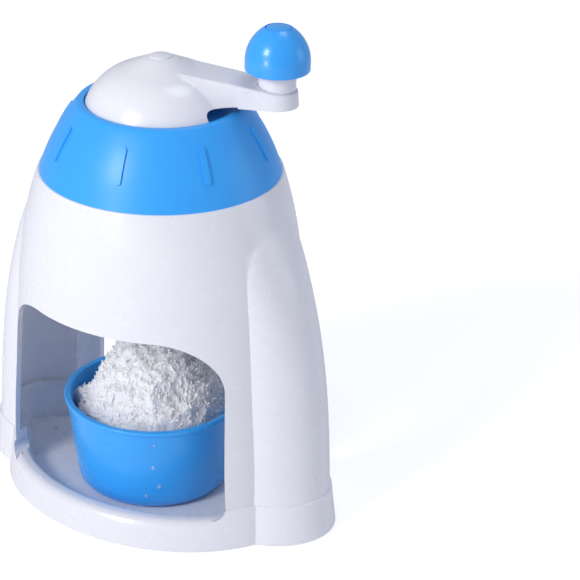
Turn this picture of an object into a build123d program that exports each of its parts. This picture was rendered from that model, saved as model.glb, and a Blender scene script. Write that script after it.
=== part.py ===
# Hand-cranked ice shaver: a white housing on a drip tray, a blue lid ring that carries the
# crank, a hopper with a fixed blade in its floor, a sprung plate that presses the ice on to
# the blade, and a round bowl that stands under it.
# Millimetres, +Z up.  The front opening faces -Y, the side lobes lie along X, and the origin
# is on the surface that the feet rest on, in the middle of the base.

import os
from math import asin, cos, degrees, hypot, pi, radians, sin
from build123d import *

# ---------------------------------------------------------------- driving dimensions

# Fits
running_gap = 0.05        # radial, shaft or pin in its bearing
press_gap = 0.02          # radial, pressed pieces
slide_gap = 0.15          # each side, square bore on the square shaft
screw_gap = 0.05          # radial, screw in its hole
seat_gap = 0.3            # loose pieces in their seats, and faces that turn past each other

# Drip tray
foot_proud = 0.8
foot_radius = 8.0
foot_thickness = 2.8
foot_boss_wall = 2.0
foot_x = 60.0
foot_y = 31.0
base_margin = 3.5
base_a = 88.5
base_b = 71.5
base_draft = 2.6
seam_z = 22.0
lip_z = 17.0
lip_round_outer = 5.0
lip_round_inner = 3.0
lip_ramp = 5.0
rim_width = 10.0
recess_draft = 3.0
tray_floor_z = 7.0
tray_floor_thickness = 2.6
tray_skirt = 4.0

# Housing shell: each station is a share of the shell's height, then its sizes
shell_wall = 2.6
shell_height = 163.0
shell_top_radius = 63.2
body_half_length = ((0.0, 84.0), (0.23, 82.5), (0.48, 79.5), (0.72, 75.5), (0.88, 70.3))
body_half_depth = (69.0, 68.7, 68.0, 67.5, 65.5)
lobe_share = (0.0, 0.12, 0.26, 0.42, 0.58, 0.72, 0.82, 0.895)
lobe_centre = (67.1, 66.3, 65.4, 64.3, 63.5, 63.4, 63.4, 63.4)
lobe_half_length = (35.2, 34.9, 34.2, 32.0, 27.2, 19.8, 12.8, 5.8)
lobe_half_depth = (29.5, 29.4, 29.2, 29.0, 28.7, 28.1, 25.4, 16.0)
leg_rail = 6.4
leg_rail_height = 5.0
opening_drop = 13.0
opening_bottom_half = 68.0
opening_top_half = 64.0
opening_corner = 30.0

# Hopper
hopper_bore = 46.0
hopper_wall = 2.4
hopper_depth = 50.0
hopper_floor = 3.0
hopper_rim_drop = 4.0
hopper_flange = 2.5
hopper_boss_radius = 4.0
hopper_boss_height = 20.0
hopper_screw_length = 9.0
hopper_screw_count = 4
gusset = 3.0

# Blade, its throat in the hopper's floor and the clamp under it
blade_angle = 30.0
blade_length = 40.0
blade_width = 15.0
blade_thickness = 1.0
blade_inner_x = 3.0
blade_edge_y = 1.5
blade_edge_proud = 0.6
throat = 3.0
floor_edge_back = 2.7
clamp_thickness = 2.5
clamp_setback = 4.5
blade_screw_length = 6.5
blade_screw_inset = 9.0

# Pan-head screws
screw_shank = 1.5
screw_head_radius = 2.8
screw_head = 1.8
base_screw_angle = 40.0
base_screw_seat_z = 14.0
base_screw_length = 12.0

# Lid ring
ring_bottom_radius = 62.3
ring_top_radius = 42.4
ring_height = 36.5
ring_bulge = 2.1
lid_wall = 2.4
deck_drop = 2.0
deck_edge = 3.2
skirt_depth = 3.6
skirt_wall = 2.2
key_count = 4
key_width = 6.0
rib_count = 8
rib_first_angle = 12.0
rib_length = 19.0
rib_width = 3.0
rib_proud = 1.0
rib_shift = 1.4

# Bush, shaft and spring
journal_radius = 5.0
bush_wall = 3.0
bush_length = 14.5
bush_flange = 1.5
bush_flange_width = 2.4
hub_wall = 3.0
shaft_square = 8.0
drive_square = 7.0
drive_length = 14.0
collar_radius = 8.0
collar_thickness = 3.0
spring_washer_thickness = 1.5
spring_washer_radius = 14.0
stop_washer_thickness = 1.2
stop_washer_radius = 7.5
stop_screw_length = 7.0
spring_radius = 11.5
spring_wire = 0.75
spring_turns = 7
spring_end_pitch = 2.1

# Pusher plate and its spikes: ring radius and number of spikes
pusher_clearance = 2.0
pusher_plate_thickness = 3.0
pusher_rim = 2.0
pusher_rim_height = 2.4
pusher_hub_radius = 9.0
pusher_hub = 5.5
pusher_above_floor = 6.6
pusher_ribs = 8
pusher_rib = 1.8
spike_radius = 1.3
spike_length = 5.0
spike_rings = ((20.0, 6), (35.0, 10))

# Crank cap and arm
cap_radius = 38.4
cap_rise = 23.9
cap_drop = 0.6
cap_land = 6.3
cap_shoulder_radius = 22.0
cap_shoulder_drop = 6.9
cap_wall = 2.4
cap_boss_radius = 9.5
cap_web = 3.0
crank_angle = 19.0
crank_radius = 59.7
arm_end_radius = 11.5
arm_top_half = 11.2
arm_root_x = 8.0
arm_straight_x = 46.0
arm_underside_rise = 3.5
arm_top_rise = 20.7
arm_fall = 0.131
arm_edge_round = 1.4
flare_half = 52.0
flare_limit = 23.3
arch_rise = 5.0
arch_round = 4.0
cover_radius = 5.6
cover_bore = 5.0
cover_rim = 0.5
cover_crown = 0.8
cap_screw_shank = 2.0
cap_screw_length = 12.0
cap_screw_head_radius = 4.0
cap_screw_head = 2.5

# Knob, the post it stands on and the pin through both
knob_radius = 16.5
knob_height = 23.0
knob_straight = 5.0
knob_shoulder_radius = 14.2
knob_shoulder = 14.2
knob_edge_round = 0.8
knob_gap = 9.0
knob_wall = 2.6
knob_web = 4.6
post_radius = 9.6
post_seat = 0.6
pin_radius = 3.0
pin_head_radius = 5.2
pin_head = 2.4
nut_radius = 5.0
nut_height = 3.6
knob_washer_thickness = 0.9
plug_radius = 6.2
plug_thickness = 4.6
plug_crown = 1.0
plug_groove = 0.6
plug_groove_depth = 1.6

# Bowl
bowl_rim_radius = 48.2
bowl_wall_radius = 46.9
bowl_bottom_radius = 40.5
bowl_height = 51.0
bowl_band = 3.0
bowl_foot_round = 7.0
bowl_wall = 2.2
bowl_y = -6.5

# ---------------------------------------------------------------- places worked out

base_z = foot_proud
shell_top_z = seam_z + shell_height
lobe_x = lobe_centre[0]
hopper_rim_z = shell_top_z - hopper_rim_drop
hopper_floor_z = hopper_rim_z - hopper_depth
opening_top_z = hopper_floor_z - opening_drop
ring_top_z = shell_top_z + ring_height
deck_z = ring_top_z - deck_drop
skirt_outer = shell_top_radius - shell_wall - 0.4
skirt_inner = skirt_outer - skirt_wall
cup_radius = hopper_bore + hopper_wall
boss_circle = (cup_radius + skirt_inner) / 2 + 1.0
boss_top_z = hopper_rim_z - hopper_flange
screw_hole = screw_shank + screw_gap
bush_radius = journal_radius + running_gap + bush_wall
bush_bottom_z = deck_z - bush_length
cap_bottom_z = deck_z + bush_flange
cap_skirt_z = ring_top_z - cap_drop
cap_land_z = cap_skirt_z + cap_rise
collar_top_z = bush_bottom_z - seat_gap
collar_bottom_z = collar_top_z - collar_thickness
spring_top_z = collar_bottom_z - spring_washer_thickness
pusher_z = hopper_floor_z + pusher_above_floor
plate_top_z = pusher_z + pusher_plate_thickness
drive_bottom_z = cap_bottom_z + 1.0
drive_top_z = drive_bottom_z + drive_length
cap_screw_z = drive_top_z + 0.5 + cap_web
arm_bottom_z = ring_top_z + arm_underside_rise
arm_root_z = ring_top_z + arm_top_rise
arm_tip_z = arm_root_z - arm_fall * crank_radius
post_z = arm_tip_z - post_seat
knob_z = arm_tip_z + knob_gap
knob_top_z = knob_z + knob_height
plug_bottom_z = knob_top_z - plug_thickness
pin_head_z = plug_bottom_z - 0.5 - pin_head
web_top_z = pin_head_z - 0.2
web_bottom_z = web_top_z - knob_web
post_top_z = web_bottom_z - 0.1 - knob_washer_thickness
nut_z = arm_bottom_z + 0.6
blade_middle_x = blade_inner_x + blade_length / 2
to_knob = Pos(crank_radius, 0, 0)
to_crank = Rot(0, 0, crank_angle)


def disc(radius, low, high, x=0.0, y=0.0):
    return Pos(x, y, low) * extrude(Circle(radius), high - low)


def square_bar(side, low, high):
    return Pos(0, 0, low) * extrude(Rectangle(side, side), high - low)


def turned(*lines):
    # Solid of revolution about Z from lines drawn as (radius, height).
    edges = [edge for line in lines for edge in line.edges()]
    return revolve(Plane.XZ * make_face(edges), Axis.Z)


def screw(x, y, seat, length, shank=screw_shank, head_radius=screw_head_radius, head=screw_head, up=True):
    # Pan-head screw: the head stands on the seat, the shank runs down from it, or up when up is False.
    body = disc(head_radius, 0, head)
    body = fillet(body.edges().sort_by(Axis.Z)[-1], head * 0.45) + disc(shank, -length, 0)
    return Pos(x, y, seat) * (body if up else Rot(180, 0, 0) * body)


def ring_of(count, radius, first=0.0):
    # Places on a circle about Z, each turned to face outwards.
    return [Rot(0, 0, first + i * 360 / count) * Pos(radius, 0, 0) for i in range(count)]


# ---------------------------------------------------------------- drip tray

def ellipse_taper(inset, low, high, draft):
    # The tray's main ellipse, tapering inwards by draft from low to high.
    a, b = base_a - inset, base_b - inset
    bottom = Pos(0, 0, low) * Ellipse(a, b)
    top = Pos(0, 0, high) * Ellipse(a - draft, b - draft)
    return loft([bottom, top], ruled=True)


def base_taper(inset, low, high, draft):
    # The same with a rounded lobe at each end.
    solid = ellipse_taper(inset, low, high, draft)
    a = lobe_half_length[0] + base_margin - inset
    b = lobe_half_depth[0] + base_margin - inset
    for side in (-1, 1):
        bottom = Pos(side * lobe_x, 0, low) * Ellipse(a, b)
        top = Pos(side * lobe_x, 0, high) * Ellipse(a - draft, b - draft)
        solid += loft([bottom, top], ruled=True)
    return solid


def lobed_slab(half_length, half_depth, margin, low, high):
    # Straight-sided slab: an ellipse, and the shell's lowest lobes grown by margin.
    outline = Ellipse(half_length, half_depth)
    for side in (-1, 1):
        outline += Pos(side * lobe_x, 0) * Ellipse(lobe_half_length[0] + margin, lobe_half_depth[0] + margin)
    return Pos(0, 0, low) * extrude(outline, high - low)


def base_screw_places():
    # In the rail that stiffens the foot of each leg.
    reach = leg_rail / 2 + 0.6
    turn = radians(base_screw_angle)
    x = lobe_x + (lobe_half_length[0] - reach) * cos(turn)
    y = (lobe_half_depth[0] - reach) * sin(turn)
    return [(sx * x, sy * y) for sx in (-1, 1) for sy in (-1, 1)]


def foot_places():
    return [(sx * foot_x, sy * foot_y) for sx in (-1, 1) for sy in (-1, 1)]


def make_base_tray():
    # The rounded lip that shows at the front and back.
    share = (lip_z - base_z) / (seam_z - base_z)
    lip = ellipse_taper(0.0, base_z, lip_z, base_draft * share)
    lip = fillet(lip.edges().sort_by(Axis.Z)[-1], lip_round_outer)
    recess_inset = rim_width + recess_draft
    lip -= ellipse_taper(recess_inset, tray_floor_z, seam_z, -recess_draft)
    inner_edge = lip.edges().filter_by(Plane.XY).group_by(Axis.Z)[-1].sort_by(SortBy.LENGTH)[0]
    lip = fillet(inner_edge, lip_round_inner)
    gate = opening_bottom_half - 0.5
    ramp_x = gate - lip_ramp
    lip &= Box(2 * ramp_x, 4 * base_b, 4 * seam_z)
    # The two ends that rise to the seam under the legs, with a curved ramp down to the lip.
    gate_face = make_face([
        *Line((-ramp_x, 0), (ramp_x, 0)).edges(),
        *Line((ramp_x, 0), (ramp_x, lip_z)).edges(),
        *TangentArc((ramp_x, lip_z), (gate, lip_z + lip_ramp), tangent=(1, 0)).edges(),
        *Line((gate, lip_z + lip_ramp), (-gate, lip_z + lip_ramp)).edges(),
        *TangentArc((-ramp_x, lip_z), (-gate, lip_z + lip_ramp), tangent=(-1, 0)).edges(),
        *Line((-ramp_x, lip_z), (-ramp_x, 0)).edges()])
    ends = base_taper(0.0, base_z, seam_z, base_draft)
    ends -= extrude(Plane.XZ * gate_face, 2 * base_b, both=True)
    ends -= base_taper(recess_inset, tray_floor_z, seam_z, -recess_draft)
    tray = lip + ends
    # Hollow underside with a boss for each foot.
    under_z = tray_floor_z - tray_floor_thickness
    tray -= lobed_slab(base_a - tray_skirt, base_b - tray_skirt, base_margin - tray_skirt, base_z - 1.0, under_z)
    for x, y in foot_places():
        tray += disc(foot_radius + foot_boss_wall, base_z, under_z + 1.0, x, y)
        tray -= disc(foot_radius + press_gap, base_z, foot_thickness, x, y)
    for x, y in base_screw_places():
        tray -= disc(screw_head_radius + seat_gap, base_z, base_screw_seat_z, x, y)
        tray -= disc(screw_hole, base_screw_seat_z, seam_z, x, y)
    return tray


def make_rubber_feet():
    feet = []
    for x, y in foot_places():
        foot = disc(foot_radius, 0, foot_thickness, x, y)
        feet.append(fillet(foot.edges().sort_by(Axis.Z)[0], 0.4))
    return feet


def make_base_screws():
    return [screw(x, y, base_screw_seat_z, base_screw_length - screw_head, up=False)
            for x, y in base_screw_places()]


# ---------------------------------------------------------------- housing shell

def oval(half_length, half_depth):
    # An ellipse as two halves that start on the X axis, so that a loft from a long oval to a
    # deep one doesn't twist.
    halves = [EllipticalCenterArc((0, 0), half_length, half_depth, start, arc_size=180) for start in (0, 180)]
    return make_face([edge for half in halves for edge in half.edges()])


def shell_form(inset):
    # The body is a loft of ellipses that ends in a circle; each lobe is a loft of ellipses
    # that sinks into the body near the top.
    sections = []
    for (share, half_length), half_depth in zip(body_half_length, body_half_depth):
        z = seam_z + share * shell_height
        sections.append(Pos(0, 0, z) * Ellipse(half_length - inset, half_depth - inset))
    top_radius = shell_top_radius - inset
    sections.append(Pos(0, 0, shell_top_z) * Ellipse(top_radius + 0.001, top_radius))
    solid = loft(sections)
    lobes = list(zip(lobe_share, lobe_centre, lobe_half_length, lobe_half_depth))
    for side in (-1, 1):
        rings = [Pos(side * x, 0, seam_z + share * shell_height) * oval(a - inset, b - inset)
                 for share, x, a, b in lobes]
        solid += loft(rings)
    return solid


def make_housing_shell():
    outside = shell_form(0.0)
    shell = outside - shell_form(shell_wall)
    # Rail round the foot of each leg, flush with the tray's recess and with room for the screws.
    rail_top_z = seam_z + leg_rail_height
    half_wall = shell_wall / 2
    rail = lobed_slab(body_half_length[0][1] - half_wall, body_half_depth[0] - half_wall, -half_wall, seam_z, rail_top_z)
    rail -= lobed_slab(base_a - rim_width, base_b - rim_width, base_margin - rim_width, seam_z - 1.0, rail_top_z + 1.0)
    shell += rail
    # The same opening is cut through the front and the back.
    corners = [(-opening_bottom_half, 0), (-opening_top_half, opening_top_z),
               (opening_top_half, opening_top_z), (opening_bottom_half, 0)]
    arch = make_face(FilletPolyline(*corners, radius=opening_corner).edges() + Line(corners[-1], corners[0]).edges())
    shell -= extrude(Plane.XZ * arch, 2 * base_b, both=True)
    # Bosses under the hopper's flange, each with a gusset to the wall.
    inner_parts = Part()
    boss_low_z = boss_top_z - hopper_boss_height
    for place in ring_of(hopper_screw_count, boss_circle, 45.0):
        inner_parts += place * disc(hopper_boss_radius, boss_low_z, boss_top_z)
        inner_parts += place * Pos(8.0, 0, (boss_low_z + boss_top_z) / 2) * Box(16.0, gusset, hopper_boss_height)
    shell += inner_parts & outside
    for place in ring_of(hopper_screw_count, boss_circle, 45.0):
        shell -= place * disc(screw_hole, boss_top_z - hopper_screw_length, boss_top_z)
    for x, y in base_screw_places():
        shell -= disc(screw_hole, seam_z, rail_top_z - 1.0, x, y)
    return shell


# ---------------------------------------------------------------- hopper and blade

# The blade's own frame: X along its edge, Y from the tail up to the edge, Z out of its upper face.
blade_plane = Plane(origin=(0, blade_edge_y, hopper_floor_z + blade_edge_proud), x_dir=(1, 0, 0),
                    z_dir=(0, -sin(radians(blade_angle)), cos(radians(blade_angle))))


def blade_slab(length, near, far, low, high):
    # A slab in the blade's frame, from near to far behind the edge.
    middle = Pos(blade_middle_x, -(near + far) / 2, (low + high) / 2)
    return blade_plane * (middle * Box(length, far - near, high - low))


def blade_screw_places():
    row = -(clamp_setback + blade_width) / 2 - 0.5
    return [(blade_inner_x + blade_screw_inset, row), (blade_inner_x + blade_length - blade_screw_inset, row)]


def blade_holes(radius, low, high):
    return [blade_plane * disc(radius, low, high, x, y) for x, y in blade_screw_places()]


def make_ice_hopper():
    inner, outer = hopper_bore, cup_radius
    bottom_z = hopper_floor_z - hopper_floor
    walls = Polyline((0, bottom_z), (outer, bottom_z), (outer, boss_top_z), (skirt_outer, boss_top_z),
                     (skirt_outer, hopper_rim_z), (inner, hopper_rim_z), (inner, hopper_floor_z),
                     (0, hopper_floor_z), (0, bottom_z))
    hopper = turned(walls)
    # Wedge under the floor that the blade is clamped to.
    pad_end = blade_inner_x + blade_length + 2.0
    pad = blade_slab(blade_length + 4.0, 0.0, blade_width, 0.0, 12.0)
    pad &= Pos(pad_end / 2, 0, bottom_z - 9.0) * Box(2 * pad_end, 60.0, 20.0)
    hopper += pad & disc(outer, 0, hopper_floor_z)
    # Throat: everything on the open side of the blade's upper face, and back from its edge.
    throat_length = blade_length + 2 * seat_gap
    near_y = blade_edge_y + throat
    low_z = bottom_z - 8.0
    hopper -= blade_slab(throat_length, -throat, blade_width + 1.0, -20.0, 0.0) & (
        Pos(0, near_y - 50.0, low_z) * Box(200.0, 100.0, 2 * (hopper_floor_z + 1.0 - low_z)))
    edge_y = blade_edge_y - floor_edge_back
    hopper -= Pos(blade_middle_x, (edge_y + near_y) / 2, hopper_floor_z - 1.5) * Box(
        throat_length, near_y - edge_y, hopper_floor + 1.0)
    for hole in blade_holes(screw_hole, -1.0, blade_screw_length - blade_thickness - clamp_thickness):
        hopper -= hole
    for place in ring_of(hopper_screw_count, boss_circle, 45.0):
        hopper -= place * disc(screw_hole, boss_top_z, hopper_rim_z)
    # Upstands that key the lid's skirt, so that cranking can't turn the lid.
    key_depth = skirt_wall - seat_gap
    key_height = shell_top_z - hopper_rim_z - 0.6
    for place in ring_of(key_count, skirt_outer - key_depth / 2):
        hopper += place * Pos(0, 0, hopper_rim_z + key_height / 2) * Box(key_depth, key_width, key_height)
    return hopper


def make_hopper_screws():
    screws = []
    for place in ring_of(hopper_screw_count, boss_circle, 45.0):
        screws.append(place * screw(0, 0, hopper_rim_z, hopper_screw_length))
    return screws


def make_shaving_blade():
    blade = blade_slab(blade_length, 0.0, blade_width, -blade_thickness, 0.0)
    # The cutting edge is ground on the underside.
    tip = [(0.0, 0.0), (0.0, -blade_thickness), (-2.6, -blade_thickness)]
    bevel = extrude(Plane.YZ * make_face(Polyline(*tip, close=True).edges()), 2 * blade_length)
    blade -= blade_plane * (Pos(blade_inner_x - 1.0, 0, 0) * bevel)
    for hole in blade_holes(screw_hole, -blade_thickness, 0.0):
        blade -= hole
    return blade


def make_blade_clamp():
    low = -blade_thickness - clamp_thickness
    clamp = blade_slab(blade_length, clamp_setback, blade_width, low, -blade_thickness)
    clamp = fillet(clamp.edges().group_by(SortBy.LENGTH)[0], 0.8)
    for hole in blade_holes(screw_hole, low, -blade_thickness):
        clamp -= hole
    return clamp


def make_blade_screws():
    seat = -blade_thickness - clamp_thickness
    return [blade_plane * screw(x, y, seat, blade_screw_length, up=False) for x, y in blade_screw_places()]


# ---------------------------------------------------------------- lid

def ring_arc(inset, low_z, high_z):
    # The ring's bulging flank, moved inwards by inset and kept between two heights.
    run = ring_bottom_radius - ring_top_radius
    length = hypot(run, ring_height)
    out_r = ring_height / length
    out_z = run / length
    middle_r = (ring_bottom_radius + ring_top_radius) / 2 + ring_bulge * out_r
    middle_z = shell_top_z + ring_height / 2 + ring_bulge * out_z
    whole = ThreePointArc((ring_bottom_radius - inset * out_r, shell_top_z - inset * out_z),
                          (middle_r - inset * out_r, middle_z - inset * out_z),
                          (ring_top_radius - inset * out_r, ring_top_z - inset * out_z))
    centre = whole.arc_center
    radius = whole.radius

    def at(z):
        return (centre.X + (radius ** 2 - (z - centre.Y) ** 2) ** 0.5, z)

    return ThreePointArc(at(low_z), at((low_z + high_z) / 2), at(high_z))


def make_lid_ring():
    bore = bush_radius + press_gap
    hub = bush_radius + hub_wall
    skirt_low_z = shell_top_z - skirt_depth
    under_deck_z = deck_z - lid_wall
    outside = ring_arc(0.0, shell_top_z, ring_top_z)
    inside = ring_arc(lid_wall, shell_top_z + 1.6, under_deck_z)
    edge = ring_top_radius - deck_edge
    top = Polyline(outside @ 1, (edge, ring_top_z), (edge, deck_z), (bore, deck_z), (bore, bush_bottom_z),
                   (hub, bush_bottom_z), (hub, under_deck_z), inside @ 1)
    bottom = Polyline(inside @ 0, (skirt_inner, shell_top_z + 0.8), (skirt_inner, skirt_low_z),
                      (skirt_outer, skirt_low_z), (skirt_outer, shell_top_z), outside @ 0)
    ring = turned(outside, top, inside, bottom)
    ring = fillet(ring.edges().filter_by(GeomType.CIRCLE).group_by(Axis.Z)[-1].sort_by(SortBy.LENGTH)[-1], 0.8)
    # Gripping ribs: a slice of a slightly larger ring inside round-ended slots.
    outer_skin = ring_arc(-rib_proud, shell_top_z, ring_top_z)
    inner_skin = ring_arc(lid_wall / 2, shell_top_z, ring_top_z)
    crust = turned(outer_skin, Line(outer_skin @ 1, inner_skin @ 1), inner_skin, Line(inner_skin @ 0, outer_skin @ 0))
    middle = outside @ 0.5
    slant = outside % 0.5
    face = Plane(origin=(middle.X, 0, middle.Y), x_dir=(slant.X, 0, slant.Y), z_dir=(abs(slant.Y), 0, abs(slant.X)))
    slot = face * Pos(rib_shift, 0, -lid_wall) * extrude(SlotOverall(rib_length, rib_width), 3 * lid_wall)
    for i in range(rib_count):
        ring += Rot(0, 0, rib_first_angle + i * 360 / rib_count) * (slot & crust)
    # Slots in the skirt for the hopper's keys.
    slot_height = skirt_depth - seat_gap
    for place in ring_of(key_count, skirt_outer - skirt_wall / 2):
        middle_z = skirt_low_z + slot_height / 2
        ring -= place * Pos(0, 0, middle_z) * Box(2 * skirt_wall, key_width + 2 * seat_gap, slot_height)
    return ring


def make_shaft_bush():
    bush = disc(bush_radius, bush_bottom_z, deck_z)
    bush += disc(bush_radius + bush_flange_width, deck_z, cap_bottom_z)
    return bush - disc(journal_radius + running_gap, bush_bottom_z, cap_bottom_z)


# ---------------------------------------------------------------- crank, in a frame with the arm along +X

def dome(inset, low_z):
    # The cap's outline: a shallow cone that turns down into a steep shoulder.
    shoulder_z = cap_land_z - cap_shoulder_drop
    run = cap_shoulder_radius - cap_land
    length = hypot(run, cap_shoulder_drop)
    out_r = cap_shoulder_drop / length * inset
    out_z = run / length * inset
    start = (cap_land - out_r, cap_land_z - out_z)
    shoulder = (cap_shoulder_radius - out_r, shoulder_z - out_z)
    slope = (run / length, -cap_shoulder_drop / length)
    foot = (cap_radius - inset, low_z)
    return turned(Line((0, start[1]), start), Line(start, shoulder), TangentArc(shoulder, foot, tangent=slope),
                  Polyline(foot, (0, low_z), (0, start[1])))


def arm_bar(half, end_radius, end_x):
    # The straight part of the arm seen from above, with its round end.
    start = arm_straight_x
    return make_face([
        *Polyline((end_x, -half), (start, -half), (start, half), (end_x, half)).edges(),
        *ThreePointArc((end_x, half), (end_x + end_radius, 0), (end_x, -half)).edges()])


def arm_root(half, flare):
    # The root of the arm seen from above: it widens towards the cap by flare on each side.
    side = Bezier((arm_root_x, half + flare), (27.0, half + 0.4 * flare), (33.0, half + 0.02 * flare),
                  (arm_straight_x, half))
    if flare == 0:
        side = Line((arm_root_x, half), (arm_straight_x, half))
    return make_face([
        *side.edges(), *mirror(side, Plane.XZ).edges(),
        *Line((arm_straight_x, half), (arm_straight_x, -half)).edges(),
        *Line((arm_root_x, half + flare), (arm_root_x, -half - flare)).edges()])


def arm_form(inset, low_z, end_x, end_radius):
    # Ruled between its outline at low_z and its narrower outline on the sloping top.
    top_plane = Plane(origin=(0, 0, arm_root_z - inset), x_dir=(1, 0, -arm_fall), z_dir=(arm_fall, 0, 1))
    low_half = arm_end_radius - inset
    top_half = arm_top_half - inset
    top_end = end_radius * arm_top_half / arm_end_radius
    bar = loft([Pos(0, 0, low_z) * arm_bar(low_half, end_radius, end_x),
                top_plane * arm_bar(top_half, top_end, end_x)], ruled=True)
    root = loft([Pos(0, 0, low_z) * arm_root(low_half, flare_half - arm_end_radius),
                 top_plane * arm_root(top_half, 0)], ruled=True)
    return bar + root


def flare_limits(inset):
    # The flare ends where it meets the cone, seen from above.
    half = flare_limit - inset
    far = crank_radius + 2 * arm_end_radius
    corners = [(0, 8.0 - inset), (11.0, 18.4 - inset), (20.0, half), (far, half),
               (far, -half), (20.0, -half), (11.0, inset - 18.4), (0, inset - 8.0)]
    return Pos(0, 0, cap_skirt_z) * extrude(make_face(Polyline(*corners, close=True).edges()), 60.0)


def make_crank_cap():
    arm = arm_form(0.0, cap_skirt_z, crank_radius, arm_end_radius)
    arm = fillet(arm.faces().sort_by(Axis.Z)[-1].edges().sort_by(Axis.X)[1:], arm_edge_round)
    arm &= flare_limits(0.0)
    cap = dome(0.0, cap_skirt_z) + arm
    # The underside of the arm stands clear of the lid, and an arch opens the cap's skirt below it.
    cap -= Pos(cap_radius + 50.0, 0, arm_bottom_z - 50.0) * Box(100.0, 200.0, 100.0)
    arch_face = Rectangle(2 * flare_limit, 2 * arch_rise)
    arch_face = fillet(arch_face.vertices(), arch_round)
    arch = extrude(Plane.YZ * arch_face, cap_radius + 4.0)
    cap -= Pos(0, 0, cap_skirt_z) * arch
    # Hollow from below, leaving the arm's end solid around the pin.
    hollow_end = crank_radius - arm_end_radius - 1.0
    channel = arm_form(cap_wall, cap_skirt_z - 1.0, hollow_end, 0.5) & flare_limits(cap_wall)
    cap -= dome(cap_wall, cap_skirt_z) + channel
    cap += disc(cap_boss_radius, cap_bottom_z, cap_land_z - 2.0)
    cap -= square_bar(drive_square + 2 * press_gap, cap_bottom_z, drive_top_z + 0.5)
    cap -= disc(journal_radius + seat_gap, cap_bottom_z, drive_bottom_z)
    cap -= disc(cap_screw_shank + screw_gap, drive_top_z, cap_screw_z)
    cap -= disc(cover_bore, cap_screw_z, cap_land_z + 1.0)
    # Seat, bore and nut pocket for the knob's post and pin.
    cap -= to_knob * disc(post_radius + seat_gap, post_z, arm_root_z)
    cap -= to_knob * disc(pin_radius + press_gap, arm_bottom_z, post_z)
    pocket = extrude(RegularPolygon(nut_radius + press_gap, 6), nut_z + nut_height - arm_bottom_z)
    cap -= to_knob * Pos(0, 0, arm_bottom_z) * pocket
    return to_crank * cap


def make_drive_shaft():
    shaft = square_bar(shaft_square, pusher_z, collar_bottom_z)
    shaft += disc(collar_radius, collar_bottom_z, collar_top_z)
    shaft += disc(journal_radius, collar_top_z, drive_bottom_z)
    shaft += square_bar(drive_square, drive_bottom_z, drive_top_z)
    shaft -= disc(cap_screw_shank + screw_gap, drive_top_z - cap_screw_length + cap_web, drive_top_z)
    shaft -= disc(screw_hole, pusher_z, pusher_z + stop_screw_length)
    return to_crank * shaft


def make_spring_washer():
    washer = disc(spring_washer_radius, spring_top_z, collar_bottom_z)
    return to_crank * (washer - square_bar(shaft_square + 2 * slide_gap, spring_top_z, collar_bottom_z))


def make_stop_washer():
    low_z = pusher_z - stop_washer_thickness
    return disc(stop_washer_radius, low_z, pusher_z) - disc(screw_hole, low_z, pusher_z)


def make_stop_screw():
    return screw(0, 0, pusher_z - stop_washer_thickness, stop_screw_length, up=False)


def make_cap_screw():
    return screw(0, 0, cap_screw_z, cap_screw_length - 2.0, cap_screw_shank, cap_screw_head_radius, cap_screw_head)


def make_screw_cover():
    # Button over the cap's screw, crowned as a cap of a sphere.
    low_z = cap_screw_z + cap_screw_head + seat_gap
    rim_z = cap_land_z + cover_rim
    stem = cover_bore - press_gap
    radius = (cover_radius ** 2 + cover_crown ** 2) / (2 * cover_crown)
    crown = CenterArc((0, rim_z + cover_crown - radius), radius, 90, -degrees(asin(cover_radius / radius)))
    return turned(crown, Polyline(crown @ 1, (cover_radius, cap_land_z), (stem, cap_land_z), (stem, low_z),
                                  (0, low_z), (0, rim_z + cover_crown)))


def make_knob_post():
    post = disc(post_radius, post_z, post_top_z) - disc(pin_radius + press_gap, post_z, post_top_z)
    post = chamfer(post.edges().filter_by(GeomType.CIRCLE).group_by(Axis.Z)[-1].sort_by(SortBy.LENGTH)[-1], 0.8)
    return to_crank * to_knob * post


def make_knob_pin():
    pin = disc(pin_head_radius, pin_head_z, pin_head_z + pin_head)
    pin = fillet(pin.edges().sort_by(Axis.Z)[-1], 0.8)
    pin += disc(pin_radius, nut_z, pin_head_z)
    return to_crank * to_knob * pin


def make_knob_nut():
    nut = Pos(0, 0, nut_z) * extrude(RegularPolygon(nut_radius, 6), nut_height)
    return to_crank * to_knob * (nut - disc(pin_radius + press_gap, nut_z, nut_z + nut_height))


def make_knob_washer():
    top_z = post_top_z + knob_washer_thickness
    washer = disc(post_radius - 1.4, post_top_z, top_z) - disc(pin_radius + screw_gap, post_top_z, top_z)
    return to_crank * to_knob * washer


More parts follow.
